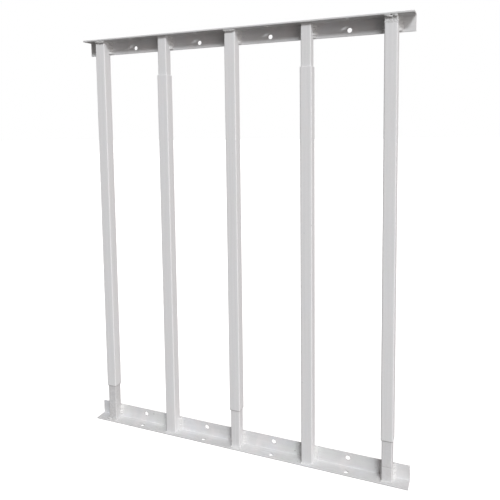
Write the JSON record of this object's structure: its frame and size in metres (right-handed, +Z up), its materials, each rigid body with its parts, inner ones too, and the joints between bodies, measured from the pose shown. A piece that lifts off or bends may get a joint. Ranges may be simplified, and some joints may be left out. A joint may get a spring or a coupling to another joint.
{
  "type": "window security bar",
  "caption": "Expandable window guard: two drilled angle rails joined by telescopic square steel bars that slide to fit the window's height.",
  "frame": {"origin": "under the middle of the bottom rail, halfway across its 30 mm depth", "axes": "+X along the rails, to the right seen from the room; +Y towards the wall behind the rails; +Z up along the bars"},
  "size_m": [0.664, 0.03, 0.826],
  "materials": {
    "rail_paint": "light grey-white satin paint over rolled steel angle, slightly chalky",
    "outer_tube_paint": "light grey-white satin paint over square steel tube",
    "inner_tube_paint": "light grey-white satin paint over square steel tube, rubbed where it slides",
    "weld_paint": "light grey-white satin paint over rough weld metal"
  },
  "bodies": {
    "lower_frame": {"bottom_rail": "rail_paint", "inner_tube_1": "inner_tube_paint", "inner_tube_3": "inner_tube_paint", "inner_tube_5": "inner_tube_paint", "outer_tube_2": "outer_tube_paint", "outer_tube_4": "outer_tube_paint", "weld_bottom_1": "weld_paint", "weld_bottom_2": "weld_paint", "weld_bottom_3": "weld_paint", "weld_bottom_4": "weld_paint", "weld_bottom_5": "weld_paint"},
    "upper_frame": {"top_rail": "rail_paint", "outer_tube_1": "outer_tube_paint", "outer_tube_3": "outer_tube_paint", "outer_tube_5": "outer_tube_paint", "inner_tube_2": "inner_tube_paint", "inner_tube_4": "inner_tube_paint", "weld_top_1": "weld_paint", "weld_top_2": "weld_paint", "weld_top_3": "weld_paint", "weld_top_4": "weld_paint", "weld_top_5": "weld_paint"}
  },
  "joints": [
    {"name": "height_slide", "type": "slide", "parent": "lower_frame", "child": "upper_frame", "axis": [0, 0, 1], "range_m": [-0.048, 0.5]}
  ]
}
